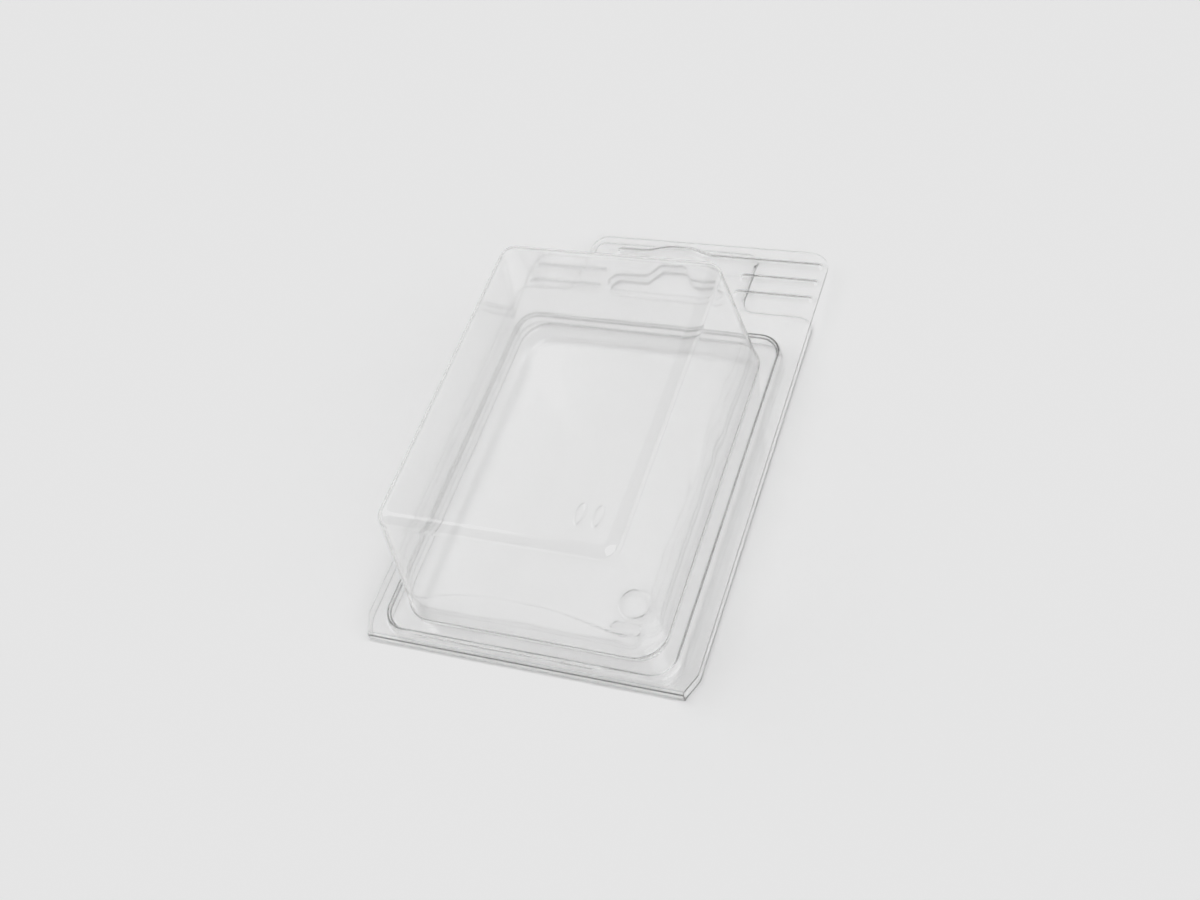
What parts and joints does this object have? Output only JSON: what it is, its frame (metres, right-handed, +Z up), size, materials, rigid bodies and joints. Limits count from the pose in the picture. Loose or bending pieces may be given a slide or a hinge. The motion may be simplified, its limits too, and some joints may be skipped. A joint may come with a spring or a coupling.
{
  "type": "blister pack",
  "caption": "Clear folded clamshell blister pack lying on its back: flanged back half with a nesting ridge, hinged front half with a tall tapered box, hang hole and ribbed grip tabs.",
  "frame": {"origin": "middle of the footprint, on the surface that the closed pack lies on", "axes": "+Y from the hinge to the hang hole, the longest extent; +Z up, from the flat back to the face of the box; +X to the right, seen from the front with the hang hole at the top"},
  "size_m": [0.084, 0.1334, 0.0411],
  "materials": {
    "clear_sheet": "clear, smooth and glossy thermoformed sheet"
  },
  "bodies": {
    "back_half": {"back_shell": "clear_sheet"},
    "front_half": {"front_shell": "clear_sheet"}
  },
  "joints": [
    {"name": "hinge_fold", "type": "hinge", "parent": "back_half", "child": "front_half", "pos_m": [0, -0.0663, 0.0032], "axis": [1, 0, 0], "range_deg": [0, 108]}
  ]
}
